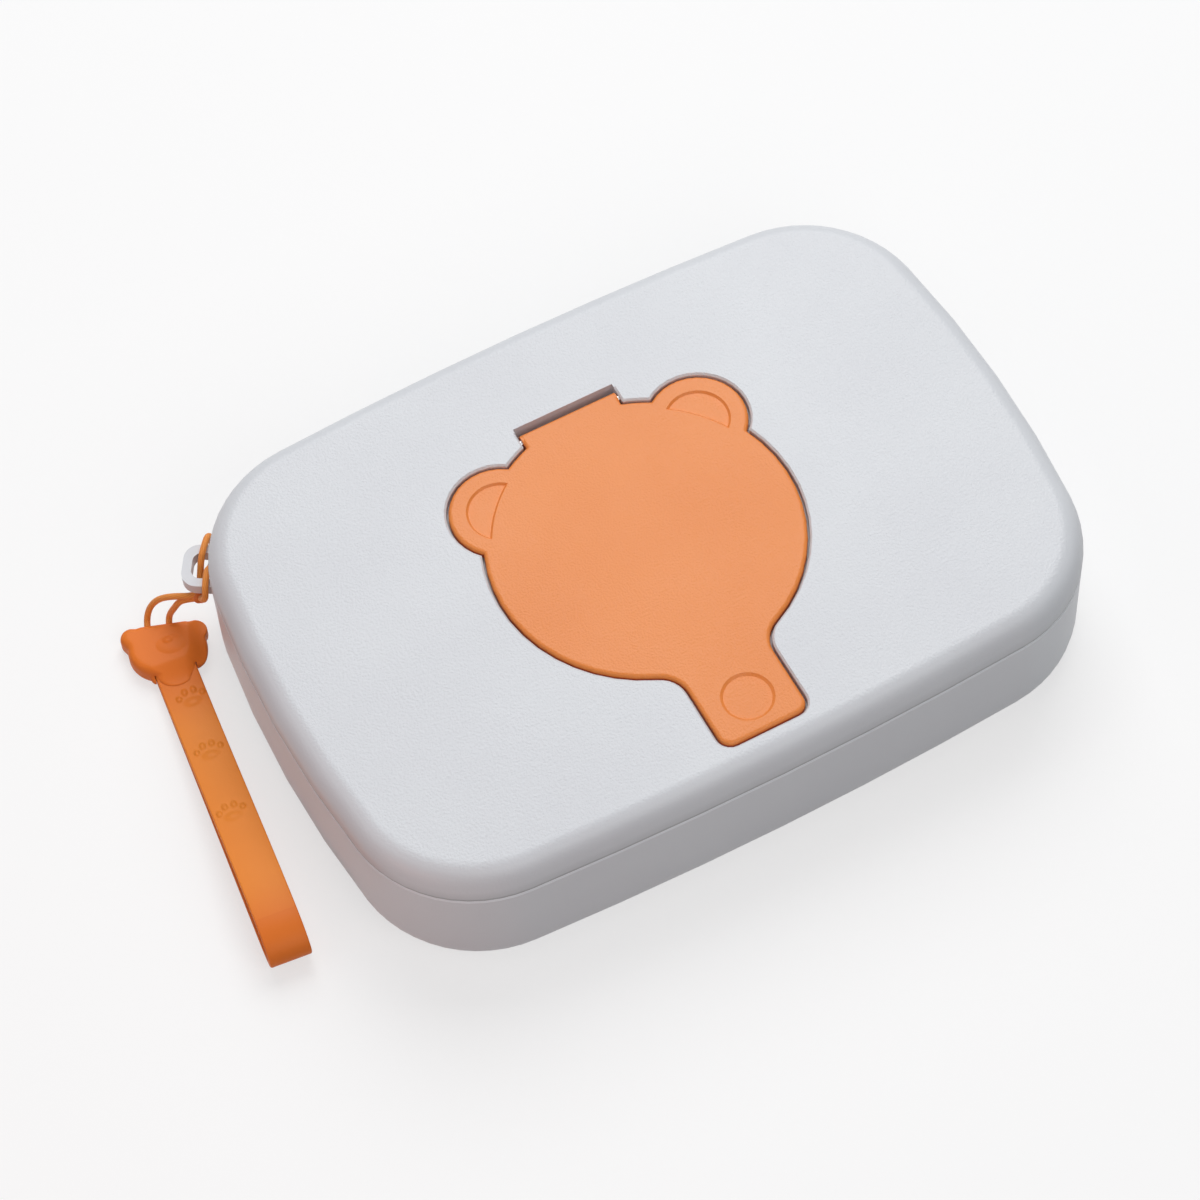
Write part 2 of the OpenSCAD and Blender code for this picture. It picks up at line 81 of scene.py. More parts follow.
cad_box = [list(corner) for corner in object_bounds()]


def to_mm(numbers):
    """Lengths in metres as rounded mm, for the printed lines."""
    return [round(1000 * number, 1) for number in numbers]


print("CAD box in mm:", [to_mm(corner) for corner in cad_box])

# %% [markdown]
# ## The camera
# The photograph looks down from the front left, at 59 degrees above the table, with a long lens and a small
# roll. A camera's own axes are its rotation matrix's columns, so the direction back to the camera and the two
# axes across the picture give the matrix, and no Euler angles have to be guessed.

# %% Camera
azimuth, elevation, roll = radians(-24.65), radians(59.12), radians(-3.98)
aim, distance, slide_left, slide_down = Vector((0, 0, 0.020)), 0.91135, 0.01002, 0.00627
back = Vector((sin(azimuth) * cos(elevation), -cos(azimuth) * cos(elevation), sin(elevation)))
level = Vector((cos(azimuth), sin(azimuth), 0))
upright = back.cross(level)
rightward = cos(roll) * level + sin(roll) * upright
upward = cos(roll) * upright - sin(roll) * level
stand = aim + distance * back - slide_left * rightward - slide_down * upward
camera = bpy.data.objects.new("camera", bpy.data.cameras.new("camera"))
bpy.context.scene.collection.objects.link(camera)
camera.matrix_world = Matrix.Translation(stand) @ Matrix((rightward, upward, back)).transposed().to_4x4()
camera.data.sensor_width = 36
camera.data.lens = 123.90
camera.data.clip_start, camera.data.clip_end = 0.01, 20
bpy.context.scene.camera = camera
print("camera at", [round(v, 3) for v in camera.location])

# %% [markdown]
# ## Small helpers
# Operators act on whatever is selected, and a loaded model arrives selected. So each step first deselects
# everything and then picks what it works on. A finished piece rides on the body that it moves with.

# %% Helpers for objects
weld_gap = 0.000005
soft_edge = radians(50)


def pick(*objects):
    """Selects only these objects and makes the first one active."""
    bpy.ops.object.select_all(action="DESELECT")
    for o in objects:
        o.select_set(True)
    bpy.context.view_layer.objects.active = objects[0]
    return objects[0]


def in_edit_mode(obj, work):
    """Selects all of a mesh in edit mode, does the work there, and comes back."""
    pick(obj)
    bpy.ops.object.mode_set(mode="EDIT")
    bpy.ops.mesh.select_all(action="SELECT")
    work()
    bpy.ops.object.mode_set(mode="OBJECT")


def add_modifier(obj, kind, **settings):
    """Adds a modifier and applies it."""
    pick(obj)
    modifier = obj.modifiers.new(kind.lower(), kind)
    for key, value in settings.items():
        setattr(modifier, key, value)
    bpy.ops.object.modifier_apply(modifier=modifier.name)
    return obj


def settle(obj, name, body, material):
    """Names a piece, puts its place into its mesh, and hangs it on its body."""
    obj.name = obj.data.name = name
    pick(obj)
    bpy.ops.object.transform_apply(location=True, rotation=True, scale=True)
    obj.data.materials.clear()
    obj.data.materials.append(material)
    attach(obj, body)
    print("piece:", name, "on", body)
    return obj


print("corners closer than", 1000 * weld_gap, "mm count as one")

# %% [markdown]
# ## Small helpers for materials
# A material is a tree of nodes, and a few patterns come back in all of them: arithmetic on two values, a fade
# from one value to another, a mix of two colours, and the height of a point on the piece. Each is one function
# here, so that the finishes below read as what they do and not as a list of links.

# %% Helpers for nodes
def add_node(tree, kind, settings=None, **values):
    """A node with its settings, and its input values by socket name."""
    made = tree.nodes.new("ShaderNode" + kind)
    for key, value in (settings or {}).items():
        setattr(made, key, value)
    for key, value in values.items():
        made.inputs[key.replace("_", " ")].default_value = value
    return made


def feed(tree, sockets, sources):
    """Gives each socket its source: a link from another socket, or a plain value."""
    for socket, source in zip(sockets, sources):
        if isinstance(source, bpy.types.NodeSocket):
            tree.links.new(source, socket)
        else:
            socket.default_value = source


def combine(tree, operation, *sources):
    """Arithmetic on its sources, which are sockets or numbers."""
    made = add_node(tree, "Math", {"operation": operation})
    feed(tree, made.inputs, sources)
    return made.outputs[0]


def fade(tree, value, start, stop, least=0.0, most=1.0, soft=True):
    """Goes from least at start to most at stop, with soft ends or else in a straight line."""
    made = add_node(tree, "MapRange", {"interpolation_type": "SMOOTHSTEP" if soft else "LINEAR"},
                    From_Min=start, From_Max=stop, To_Min=least, To_Max=most)
    tree.links.new(value, made.inputs["Value"])
    return made.outputs["Result"]


def mix_colours(tree, factor, first, second, blend="MIX"):
    """Mixes two colours. A Mix node's colours are its inputs 6 and 7, and the result is its output 2."""
    made = add_node(tree, "Mix", {"data_type": "RGBA", "blend_type": blend})
    feed(tree, (made.inputs[0], made.inputs[6], made.inputs[7]), (factor, first, second))
    return made.outputs[2]


def object_height(tree):
    """How high each point of the piece lies, from its Object coordinates."""
    where = add_node(tree, "TexCoord")
    parts = add_node(tree, "SeparateXYZ")
    tree.links.new(where.outputs["Object"], parts.inputs[0])
    return parts.outputs["Z"]


print("node helpers:", [f.__name__ for f in (add_node, feed, combine, fade, mix_colours, object_height)])

# %% [markdown]
# ## Shared effects for the materials
# Moulded plastic is never one flat colour. Its mould was spark eroded, which leaves a fine pebbled grain, and
# the colour drifts a little over the piece. An image could hold both, but it would blur close up and need
# unwrapped pieces. Noise works on any shape at any scale. Both effects appear on several pieces, so each is one
# node group with named inputs, and the materials only set their own values.

# %% Node groups
FLOAT, COLOUR, VECTOR = "NodeSocketFloat", "NodeSocketColor", "NodeSocketVector"


def new_group(name, inputs, outputs):
    """An empty shader group with the named float, colour or vector sockets."""
    group = bpy.data.node_groups.new(name, "ShaderNodeTree")
    for key, (kind, value) in inputs.items():
        socket = group.interface.new_socket(key, in_out="INPUT", socket_type=kind)
        socket.default_value = value
    for key, kind in outputs.items():
        group.interface.new_socket(key, in_out="OUTPUT", socket_type=kind)
    start = group.nodes.new("NodeGroupInput")
    end = group.nodes.new("NodeGroupOutput")
    print("group:", name, "with", sorted(inputs))
    return group, start, end


def place_group(tree, group, **values):
    """Puts a shared group into a material, with its values."""
    made = tree.nodes.new("ShaderNodeGroup")
    made.node_tree = group
    for key, value in values.items():
        made.inputs[key.replace("_", " ")].default_value = value
    return made

# %% The pebbled grain of a spark-eroded mould
def make_grain():
    """Height and roughness of the grain. Size is the grain's width in mm, and Mask fades it out."""
    group, start, end = new_group(
        "moulded_grain",
        {"Size": (FLOAT, 0.5), "Mask": (FLOAT, 1.0), "Roughness": (FLOAT, 0.5), "Spread": (FLOAT, 0.06)},
        {"Height": FLOAT, "Roughness": FLOAT})
    where = add_node(group, "TexCoord")
    pebbles = add_node(group, "TexNoise", Detail=2.0, Roughness=0.55)
    slow = add_node(group, "TexNoise", Scale=28.0, Detail=3.0)
    for texture in (pebbles, slow):
        group.links.new(where.outputs["Object"], texture.inputs["Vector"])
    group.links.new(combine(group, "DIVIDE", 1000, start.outputs["Size"]), pebbles.inputs["Scale"])
    height = combine(group, "MULTIPLY", pebbles.outputs[0], start.outputs["Mask"])
    centred = combine(group, "SUBTRACT", slow.outputs[0], 0.5)
    rough = combine(group, "MULTIPLY_ADD", centred, start.outputs["Spread"], start.outputs["Roughness"])
    feed(group, (end.inputs["Height"], end.inputs["Roughness"]), (height, rough))
    return group


grain_group = make_grain()

# %% The slow drift of colour in one moulding
def make_drift():
    """Mixes a colour with its slightly deeper shade in soft clouds. Cloud Size is in mm."""
    group, start, end = new_group(
        "colour_drift",
        {"Colour": (COLOUR, (0.8, 0.8, 0.8, 1)), "Deeper": (COLOUR, (0.7, 0.7, 0.7, 1)),
         "Cloud Size": (FLOAT, 30.0), "Amount": (FLOAT, 0.5)},
        {"Colour": COLOUR})
    where = add_node(group, "TexCoord")
    clouds = add_node(group, "TexNoise", Detail=4.0)
    group.links.new(where.outputs["Object"], clouds.inputs["Vector"])
    group.links.new(combine(group, "DIVIDE", 1000, start.outputs["Cloud Size"]), clouds.inputs["Scale"])
    spread = fade(group, clouds.outputs[0], 0.35, 0.65, soft=False)
    part = combine(group, "MULTIPLY", spread, start.outputs["Amount"])
    mixed = mix_colours(group, part, start.outputs["Colour"], start.outputs["Deeper"])
    group.links.new(mixed, end.inputs["Colour"])
    return group


drift_group = make_drift()

# %% [markdown]
# ## Moulded finishes
# Box, lid, seals, insert and strap are all moulded, in plastic or in rubber. Each finish is one Principled
# shader. What is the same all over, such as the specular level, is set on the shader itself. Only the colour,
# the roughness and the bump come through nodes. On the cover the grain lies on the flat top, and the polished
# roundover keeps only a quarter of it.

# %% One moulded finish
def new_finish(name):
    """An empty material, as the material, its node tree and its shader."""
    material = bpy.data.materials.new(name)
    material.use_nodes = True
    print("finish:", name)
    return material, material.node_tree, material.node_tree.nodes["Principled BSDF"]


def moulded(name, colour, deeper, roughness, grain_mm, bump, spread=0.06, flat_z=None, sheen=0.0, lift=0.0001,
            specular=0.5):
    """Moulded plastic or rubber. With flat_z, the full grain lies only near that height, as on a top face."""
    material, tree, shader = new_finish(name)
    drift = place_group(tree, drift_group, Colour=(*colour, 1), Deeper=(*deeper, 1), Amount=0.6)
    grain = place_group(tree, grain_group, Size=grain_mm, Roughness=roughness, Spread=spread)
    dent = add_node(tree, "Bump", Strength=bump, Distance=lift)
    tree.links.new(drift.outputs["Colour"], shader.inputs["Base Color"])
    tree.links.new(grain.outputs["Roughness"], shader.inputs["Roughness"])
    tree.links.new(grain.outputs["Height"], dent.inputs["Height"])
    tree.links.new(dent.outputs["Normal"], shader.inputs["Normal"])
    if flat_z:
        flat = fade(tree, object_height(tree), flat_z - 0.0006, flat_z - 0.0001, least=0.25, soft=False)
        tree.links.new(flat, grain.inputs["Mask"])
    shader.inputs["Specular IOR Level"].default_value = specular
    if sheen:
        shader.inputs["Sheen Weight"].default_value = sheen
        shader.inputs["Sheen Roughness"].default_value = 0.5
    return material


top_z = cad_box[1][2]
shell_white = moulded("shell_white", (0.71, 0.73, 0.76), (0.685, 0.70, 0.735), 0.40, 0.6, 0.8, spread=0.14,
                      flat_z=top_z, lift=0.00018)
lid_orange = moulded("lid_orange", (0.84, 0.256, 0.044), (0.80, 0.232, 0.037), 0.40, 0.5, 0.8, spread=0.12,
                     lift=0.00015)
seal_grey = moulded("seal_grey", (0.62, 0.62, 0.61), (0.57, 0.57, 0.56), 0.6, 0.3, 0.2)
insert_pale = moulded("insert_pale", (0.76, 0.77, 0.77), (0.71, 0.72, 0.72), 0.55, 0.3, 0.15)

# %% [markdown]
# ## The parting line and the lid's edge
# Where tray and cover meet there is a pale line with a dark one above it. The pale one is a painted highlight on
# the tray's bevel, which faces up into the light, and the dark one is painted shade in the gap under the cover's
# rounded edge, fading out up the roundover. The lid's edge gets painted shade too, a deeper orange down in its
# narrow gap. Separate strips of mesh could carry these colours, but all three follow a height, so it is enough
# to read each point's height and mix in a shade.

# %% Painted light and shade by height
def shade_base(material, factor, shade, blend="MIX"):
    """Mixes a shade into the base colour that a finish has so far."""
    tree = material.node_tree
    colour_in = tree.nodes["Principled BSDF"].inputs["Base Color"]
    before = colour_in.links[0].from_socket
    tree.links.new(mix_colours(tree, factor, before, shade, blend), colour_in)


def paint_seam_light(material, seam):
    """Painted highlight on the bevel, painted shade in the gap and a fainter one above it. The stops are mm above
    the seam.
    """
    stops = ((-0.6, 1.0), (-0.5, 1.2), (-0.02, 1.2), (0.0, 0.34), (0.72, 0.34), (1.0, 0.78), (1.48, 0.86),
             (3.4, 1.0))
    lowest, highest = stops[0][0], stops[-1][0]
    tree = material.node_tree
    ramp = add_node(tree, "ValToRGB")
    while len(ramp.color_ramp.elements) < len(stops):
        ramp.color_ramp.elements.new(1.0)
    for element, (rise, strength) in zip(ramp.color_ramp.elements, stops):
        element.position = (rise - lowest) / (highest - lowest)
        element.color = (strength, strength, strength, 1)
    between = fade(tree, object_height(tree), seam + lowest / 1000, seam + highest / 1000, soft=False)
    tree.links.new(between, ramp.inputs[0])
    # The ramp multiplies the base colour: painted highlight on the bevel, painted shade in the gap and above it.
    shade_base(material, 1.0, ramp.outputs[0], "MULTIPLY")


def paint_gap_shade(material, top, shade):
    """Painted shade, a deeper colour, from just below the top face to 2 mm below it, on the lid's side in its
    gap.
    """
    tree = material.node_tree
    height = object_height(tree)
    below = fade(tree, height, top - 0.00055, top - 0.0010)
    above = fade(tree, height, top - 0.0021, top - 0.0016)
    # Painted shade on the lid's side, where it goes down into its gap.
    shade_base(material, combine(tree, "MULTIPLY", below, above), (*shade, 1))


cover_height = 0.0082
# Painted highlight and painted shade along the parting line.
paint_seam_light(shell_white, top_z - cover_height)
# Painted shade on the lid's side in its gap.
paint_gap_shade(lid_orange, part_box("flip_lid")[1][2], (0.52, 0.065, 0.006))

# %% [markdown]
# ## The steel pin
# The hinge pin is drawn wire, so its finish runs along its length. A plain grey metal would look like paint. A
# noise that is stretched along X gives faint drawing lines, in roughness and in bump.

# %% Drawn steel
def drawn_steel():
    """Bright steel with fine lines along X."""
    material, tree, shader = new_finish("pin_steel")
    where = add_node(tree, "TexCoord")
    stretch = add_node(tree, "Mapping", Scale=(150, 9000, 9000))
    lines = add_node(tree, "TexNoise", Scale=1.0, Detail=3.0)
    dent = add_node(tree, "Bump", Strength=0.2, Distance=0.00002)
    tree.links.new(where.outputs["Object"], stretch.inputs["Vector"])
    tree.links.new(stretch.outputs[0], lines.inputs["Vector"])
    tree.links.new(lines.outputs[0], dent.inputs["Height"])
    rough = fade(tree, lines.outputs[0], 0.0, 1.0, least=0.22, most=0.42, soft=False)
    tree.links.new(rough, shader.inputs["Roughness"])
    tree.links.new(dent.outputs["Normal"], shader.inputs["Normal"])
    shader.inputs["Base Color"].default_value = (0.62, 0.62, 0.63, 1)
    shader.inputs["Metallic"].default_value = 1.0
    return material


pin_steel = drawn_steel()

# %% [markdown]
# ## The cord's finish
# The cord is a thin round braid of elastic yarn. Every yarn as its own tube would be thousands of faces for a
# detail of a tenth of a millimetre. The pattern only has to follow the cord, so it reads the piece's own UV
# map, where U runs along the cord and V round it. Two waves that cross give the braid's diamonds.

# %% Braided cord
def braided_cord():
    """Two waves that lean either way over the UV map, the higher one on top, and painted shade where the braid is
    low.
    """
    material, tree, shader = new_finish("cord_orange")
    along = add_node(tree, "UVMap")
    waves = []
    for turn in (40, -40):
        lean = add_node(tree, "Mapping", Scale=(110, 4, 1), Rotation=(0, 0, radians(turn)))
        wave = add_node(tree, "TexWave", {"bands_direction": "DIAGONAL"}, Scale=1.0, Distortion=0.4)
        tree.links.new(along.outputs["UV"], lean.inputs["Vector"])
        tree.links.new(lean.outputs[0], wave.inputs["Vector"])
        waves.append(wave.outputs["Fac"])
    cross = combine(tree, "MAXIMUM", *waves)
    # Painted shade: the colour is darker where the crossing waves are low, between the yarns.
    shade = mix_colours(tree, cross, (0.70, 0.19, 0.018, 1), (0.92, 0.33, 0.05, 1))
    dent = add_node(tree, "Bump", Strength=0.35, Distance=0.00008)
    tree.links.new(shade, shader.inputs["Base Color"])
    tree.links.new(cross, dent.inputs["Height"])
    tree.links.new(dent.outputs["Normal"], shader.inputs["Normal"])
    shader.inputs["Roughness"].default_value = 0.62
    shader.inputs["Sheen Weight"].default_value = 0.15
    return material


cord_orange = braided_cord()

# %% [markdown]
# ## The cord
# The lug is a small ring on the tray's left rear corner. The cord leaves the strap's head, climbs to the lug,
# turns inside the knot and comes back to the head. A second stretch is the hitch: it comes up through the lug's
# eye, goes round one bar, up through the eye again, and over the other bar down to the knot. A cord could be
# swept in mesh by hand, but a curve keeps its round section through every bend. So each stretch is a curve
# along its route, and it is made a mesh in the end, so that it has a UV map.

# %% Where the lug stands
lug_turn = radians(147.5)
lug_out = Vector((cos(lug_turn), sin(lug_turn), 0))
lug_side = Vector((-sin(lug_turn), cos(lug_turn), 0))
corner_middle, corner_radius = Vector((-0.0578970, 0.0311664, 0)), 0.030
lug_root = corner_middle + corner_radius * lug_out
lug_z = 0.020


def at_lug(out, side, rise):
    """A point in mm from the lug's root: out from the wall, along the wall, up."""
    return lug_root + (out * lug_out + side * lug_side) / 1000 + Vector((0, 0, lug_z + rise / 1000))


def beside_lug(x, y, z):
    """A point in mm: along X and Y from the lug's root, and up from the table."""
    return lug_root + Vector((x, y, z)) / 1000


print("lug's root in mm:", to_mm(lug_root))

# %% A cord along its route
cord_thick = 0.0015


def lay_cord(name, route, order=3):
    """A round cord along the points of its route, as a mesh with U along it. A higher order bends softer."""
    curve = bpy.data.curves.new(name, "CURVE")
    curve.dimensions = "3D"
    curve.bevel_depth = cord_thick / 2
    curve.bevel_resolution = 4
    curve.use_fill_caps = True
    curve.resolution_u = 6
    line = curve.splines.new("NURBS")
    line.points.add(len(route) - 1)
    for point, where in zip(line.points, route):
        point.co = (*where, 1)
    line.order_u = order
    line.use_endpoint_u = True
    made = bpy.data.objects.new(name, curve)
    bpy.context.scene.collection.objects.link(made)
    pick(made)
    bpy.ops.object.convert(target="MESH")
    made = bpy.context.view_layer.objects.active
    pick(made)
    bpy.ops.object.shade_smooth_by_angle(angle=soft_edge)
    return made


def length_of(route):
    """The length along the points of a route."""
    return sum((b - a).length for a, b in zip(route, route[1:]))


print("cord thickness in mm:", 1000 * cord_thick)

# %% The strap's loop of cord
head_turn = radians(-19.8)
head_mid = lug_root + Vector((-0.0158, -0.0033, 0))
head_side = Vector((cos(head_turn), sin(head_turn), 0))
head_up = Vector((-sin(head_turn), cos(head_turn), 0))


def at_head(side, up, z):
    """A point in mm from the middle of the strap's head, in the head's own directions."""
    return head_mid + (side * head_side + up * head_up) / 1000 + Vector((0, 0, z / 1000))


loop_route = (
    [at_head(-3.5, 5.2, 2.8), at_head(-3.5, 7.4, 3)]
    + [beside_lug(*p) for p in (
        (-16, 5.7, 4.3), (-14.9, 6.2, 6.5), (-13.5, 5.7, 8.9), (-12, 4.5, 11), (-10.4, 2.9, 12.6),
        (-8.9, 1.3, 13.9), (-7.5, -0.2, 14.9), (-6.4, -0.9, 15.4), (-5.5, -1.5, 15.8), (-4.8, -1.95, 15.9),
        (-4.2, -2.3, 15.5), (-4.2, -2.3, 15), (-4.8, -1.95, 14.6), (-5.5, -1.4, 14.1),
        (-6.3, -0.7, 13.7), (-7.4, 0, 13.2), (-8.4, 0.8, 12.4), (-9.3, 1.5, 11.1),
        (-10, 2, 9.3), (-10.5, 2.7, 7.4), (-10.9, 3.4, 5.6), (-11.4, 3.7, 4.1))]
    + [at_head(1.4, 7.4, 3), at_head(1.4, 5.2, 2.8)])
strap_loop_cord = settle(lay_cord("strap_loop_cord", loop_route, order=4), "strap_loop_cord", "strap",
                         cord_orange)
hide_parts("strap_cord")
print("loop of cord in mm:", round(1000 * length_of(loop_route), 1))

# %% The hitch round the lug
hitch_route = [at_lug(*p) for p in (
    (2.9, 3.4, -2.6), (3.05, 2.3, -2.1), (3.1, 1.2, -1.2),
    (3, 0.2, -0.1), (2.9, -1.1, 1.4), (2.7, -2.6, 2.4), (2.4, -4.8, 2.6), (2.2, -6.8, 2.3),
    (2, -8, 1.2), (1.8, -8.3, -0.1), (1.6, -7.9, -1.4), (1.4, -6.6, -2.4), (1.3, -4.8, -2.6),
    (1.2, -3, -2.5), (1.2, -1.5, -1.6), (1.2, -0.2, -0.1), (1.2, 1.1, 1.4), (1.1, 2.6, 2.4),
    (1, 4.8, 2.6), (0.9, 6.4, 2.2), (0.9, 7.2, 1.1), (1.1, 7.4, -0.3), (1.7, 6.9, -1.7),
    (2.5, 5.75, -3.05))]
lug_hitch = settle(lay_cord("lug_hitch", hitch_route), "lug_hitch", "tray", cord_orange)
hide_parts("cord_hitch")
print("hitch in mm:", round(1000 * length_of(hitch_route), 1))

# %% [markdown]
# ## The knot
# The knot is the cord wound once round itself. A true overhand knot as a curve would cut into itself at this
# size. So a torus is the turn that shows, and a ball fills its middle. The two are joined and remeshed into one
# soft lump, because a real knot's turns press together.

# %% Knot
knot_at = at_lug(2.9, 4.2, -4.7)
pick(strap_loop_cord)
bpy.ops.mesh.primitive_torus_add(location=knot_at, major_radius=0.00115, minor_radius=0.00076,
                                 major_segments=48, minor_segments=20,
                                 rotation=(pi / 2, 0, lug_turn + radians(45)))
knot = bpy.context.object
bpy.ops.mesh.primitive_uv_sphere_add(radius=0.0016, location=knot_at, segments=32, ring_count=20)
core = bpy.context.object
pick(knot, core)
bpy.ops.object.join()
add_modifier(knot, "REMESH", mode="VOXEL", voxel_size=0.00012)
add_modifier(knot, "SMOOTH", factor=0.5, iterations=3)
pick(knot)
bpy.ops.object.shade_smooth()
knot_yarn = moulded("knot_yarn", (0.78, 0.19, 0.02), (0.62, 0.13, 0.012), 0.62, 0.25, 0.5, sheen=0.1)
settle(knot, "cord_end_knot", "strap", knot_yarn)
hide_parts("cord_knot")
print("knot: faces", len(knot.data.polygons))

# %% [markdown]
# ## The strap's band
# The band is one flat strip of soft rubber. It leaves the head, runs along the table, folds round and comes back
# on top of itself into the head. Bending a finished strip would squeeze it at the fold. So its short edge is
# extruded along that route, step by step, and the strip then gets its thickness and its rounded edges. Its own
# UV map is a ruler, where 1 stands for 100 mm, so that its ornament can be placed by measure.

# %% The band's route
band_turn = radians(-96.4)
band_from = lug_root + Vector((-0.0162, -0.0104, 0))
band_run = Vector((cos(band_turn), sin(band_turn), 0))
band_side = Vector((-sin(band_turn), cos(band_turn), 0))
band_wide, band_thick = 0.0095, 0.0016
fold_steps, back_steps = 24, 30


def on_band(along, across, rise):
    """A point in mm: along the band from its head end, across it towards the box, and up from the table."""
    return band_from + (along * band_run + across * band_side) / 1000 + Vector((0, 0, rise / 1000))


def band_steps():
    """The middle of the band's thickness in mm, along and up: under, round the fold, and back on top."""
    straight, low, high = 68.6, 0.8, 10.1
    route = [(s, low) for s in range(-6, 67, 6)]
    for i in range(1, fold_steps + 1):
        turn = pi * i / fold_steps
        route.append((straight + 8.1 * sin(turn), (low + high) / 2 - (high - low) / 2 * cos(turn)))
    for i in range(1, back_steps + 1):
        q = 1 - i / back_steps
        route.append((straight * q, 2.5 + 7.6 * (3 * q * q - 2 * q ** 3)))
    return route + [(-6, 2.5)]


steps = band_steps()
strip = sum(sqrt((b[0] - a[0]) ** 2 + (b[1] - a[1]) ** 2) for a, b in zip(steps, steps[1:]))
print("band in mm:", round(strip, 1))

# %% The band: one edge, extruded along the route
pick(knot)
bpy.ops.mesh.primitive_plane_add(size=0.001)
band = bpy.context.object
bpy.ops.object.mode_set(mode="EDIT")
bpy.ops.mesh.select_all(action="DESELECT")
bpy.ops.object.mode_set(mode="OBJECT")
for vertex in band.data.vertices:
    vertex.select = vertex.index > 1
bpy.ops.object.mode_set(mode="EDIT")
bpy.ops.mesh.delete(type="VERT")
bpy.ops.object.mode_set(mode="OBJECT")
half_wide = 500 * band_wide
for vertex, side in zip(band.data.vertices, (-half_wide, half_wide)):
    vertex.co = on_band(steps[0][0], side, steps[0][1])


def extrude_strip():
    """Extrudes the selected edge from each step of the route to the next."""
    for a, b in zip(steps, steps[1:]):
        move = on_band(b[0], 0, b[1]) - on_band(a[0], 0, a[1])
        bpy.ops.mesh.extrude_region_move(TRANSFORM_OT_translate={"value": move})


in_edit_mode(band, extrude_strip)
print("band: steps", len(steps), "vertices", len(band.data.vertices))

# %% Its UV map, thickness and rounded edges
ruler = band.data.uv_layers.new(name="band_mm")
first_on_top = len(steps) - back_steps - 2
for corner_loop in band.data.loops:
    offset = (band.data.vertices[corner_loop.vertex_index].co - band_from) * 10
    step = corner_loop.vertex_index // 2
    underneath = 0 if step >= first_on_top else 1
    ruler.data[corner_loop.index].uv = (offset.dot(band_run) + underneath, offset.dot(band_side))
add_modifier(band, "SOLIDIFY", thickness=band_thick, offset=0, use_even_offset=True)
in_edit_mode(band, lambda: bpy.ops.mesh.normals_make_consistent(inside=False))
add_modifier(band, "BEVEL", width=0.00042, segments=4, limit_method="ANGLE", angle_limit=soft_edge)
pick(band)
bpy.ops.object.shade_smooth_by_angle(angle=radians(40))
print("band: faces", len(band.data.polygons))

# %% [markdown]
# ## The band's finish
# The band's upper run carries three faint raised paw prints. Its colour gets painted shade towards the head,
# which lies in the box's shadow, and in the fold, and stays paler where it lies flat. The prints stand up by a
# third of a millimetre at most, so a bump is enough for them.

# %% A raised paw print for the band's bump
def make_paw():
    """The height of one paw print. Spot is the place in mm from the print's middle, along and across."""
    group, start, end = new_group("paw_print", {"Spot": (VECTOR, (0, 0, 0))}, {"Height": FLOAT})
    ovals = ((1.2, 0.0, 1.3, 2.1), (-0.5, -2.7, 0.95, 0.75), (-1.8, -1.05, 1.05, 0.75),
             (-1.8, 1.05, 1.05, 0.75), (-0.5, 2.7, 0.95, 0.75))
    total = None
    for along, across, half_long, half_wide in ovals:
        moved = add_node(group, "VectorMath", {"operation": "SUBTRACT"})
        moved.inputs[1].default_value = (along, across, 0)
        scaled = add_node(group, "VectorMath", {"operation": "DIVIDE"})
        scaled.inputs[1].default_value = (half_long, half_wide, 1)
        far = add_node(group, "VectorMath", {"operation": "LENGTH"})
        group.links.new(start.outputs["Spot"], moved.inputs[0])
        group.links.new(moved.outputs[0], scaled.inputs[0])
        group.links.new(scaled.outputs[0], far.inputs[0])
        oval = fade(group, far.outputs["Value"], 1.2, 0.2)
        total = oval if total is None else combine(group, "MAXIMUM", total, oval)
    group.links.new(total, end.inputs["Height"])
    return group


def band_ruler(tree):
    """The band's own UV map, where 1 stands for 100 mm."""
    return add_node(tree, "UVMap", {"uv_map": "band_mm"}).outputs["UV"]


def add_paws(material, middles):
    """Puts a paw print at each middle, in mm, over the material's grain."""
    tree = material.node_tree
    shader = tree.nodes["Principled BSDF"]
    under = shader.inputs["Normal"].links[0].from_socket
    spot_mm = add_node(tree, "VectorMath", {"operation": "SCALE"}, Scale=100)
    tree.links.new(band_ruler(tree), spot_mm.inputs[0])
    height = None
    for along, across in middles:
        moved = add_node(tree, "VectorMath", {"operation": "SUBTRACT"})
        moved.inputs[1].default_value = (along, across, 0)
        tree.links.new(spot_mm.outputs[0], moved.inputs[0])
        paw = place_group(tree, paw_group)
        tree.links.new(moved.outputs[0], paw.inputs["Spot"])
        raise_here = paw.outputs["Height"]
        height = raise_here if height is None else combine(tree, "MAXIMUM", height, raise_here)
    raised = add_node(tree, "Bump", Strength=1.0, Distance=0.0003)
    tree.links.new(height, raised.inputs["Height"])
    tree.links.new(under, raised.inputs["Normal"])
    tree.links.new(raised.outputs["Normal"], shader.inputs["Normal"])
    print("paw prints:", len(middles))


paw_group = make_paw()

# %% Painted shade at both ends, paler where it lies flat
def paint_band_shade(material, near, far, shade):
    """Painted shade towards the head from near, and in the fold between the two numbers of far, in mm."""
    tree = material.node_tree
    parts = add_node(tree, "SeparateXYZ")
    tree.links.new(band_ruler(tree), parts.inputs[0])
    at_the_head = fade(tree, parts.outputs["X"], near / 100, 0.0, most=0.9)
    in_the_fold = fade(tree, parts.outputs["X"], far[0] / 100, far[1] / 100)
    # Painted shade towards the head and in the fold.
    shade_base(material, combine(tree, "MAXIMUM", at_the_head, in_the_fold), (*shade, 1))


